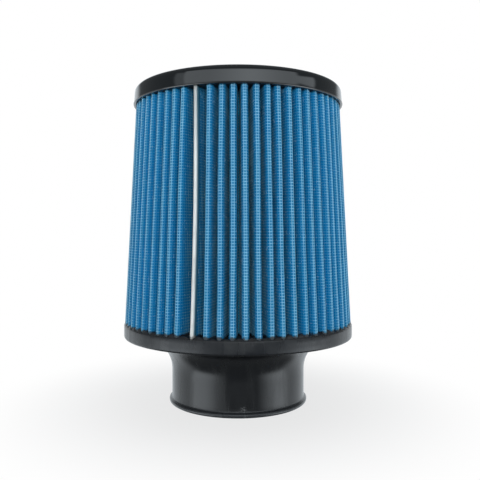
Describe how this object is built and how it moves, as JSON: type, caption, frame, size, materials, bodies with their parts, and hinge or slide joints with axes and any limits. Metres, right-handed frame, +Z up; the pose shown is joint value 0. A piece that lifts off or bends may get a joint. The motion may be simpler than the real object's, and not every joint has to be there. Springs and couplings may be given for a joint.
{
  "type": "cone air filter",
  "caption": "Tapered pleated air filter with a moulded clamp-on neck and base, a ring of blue gauze pleats closed by a white seam strip, and a gloss black pressed cap.",
  "frame": {"origin": "centre of the neck's end face, on the surface that the filter stands on", "axes": "+Z up along the filter's axis from the neck to the cap; the pack's seam is towards -Y"},
  "size_m": [0.1524, 0.1524, 0.2083],
  "materials": {
    "moulded_urethane": "satin moulded black",
    "blue_gauze": "oiled blue gauze under a painted wire screen",
    "white_strip": "matt white",
    "gloss_black": "gloss black",
    "potting_compound": "matt cast black"
  },
  "bodies": {
    "root": {"base_flange": "moulded_urethane", "pleated_media": "blue_gauze", "seam_clip": "white_strip", "top_cap": "gloss_black", "cap_potting": "potting_compound"}
  },
  "joints": []
}
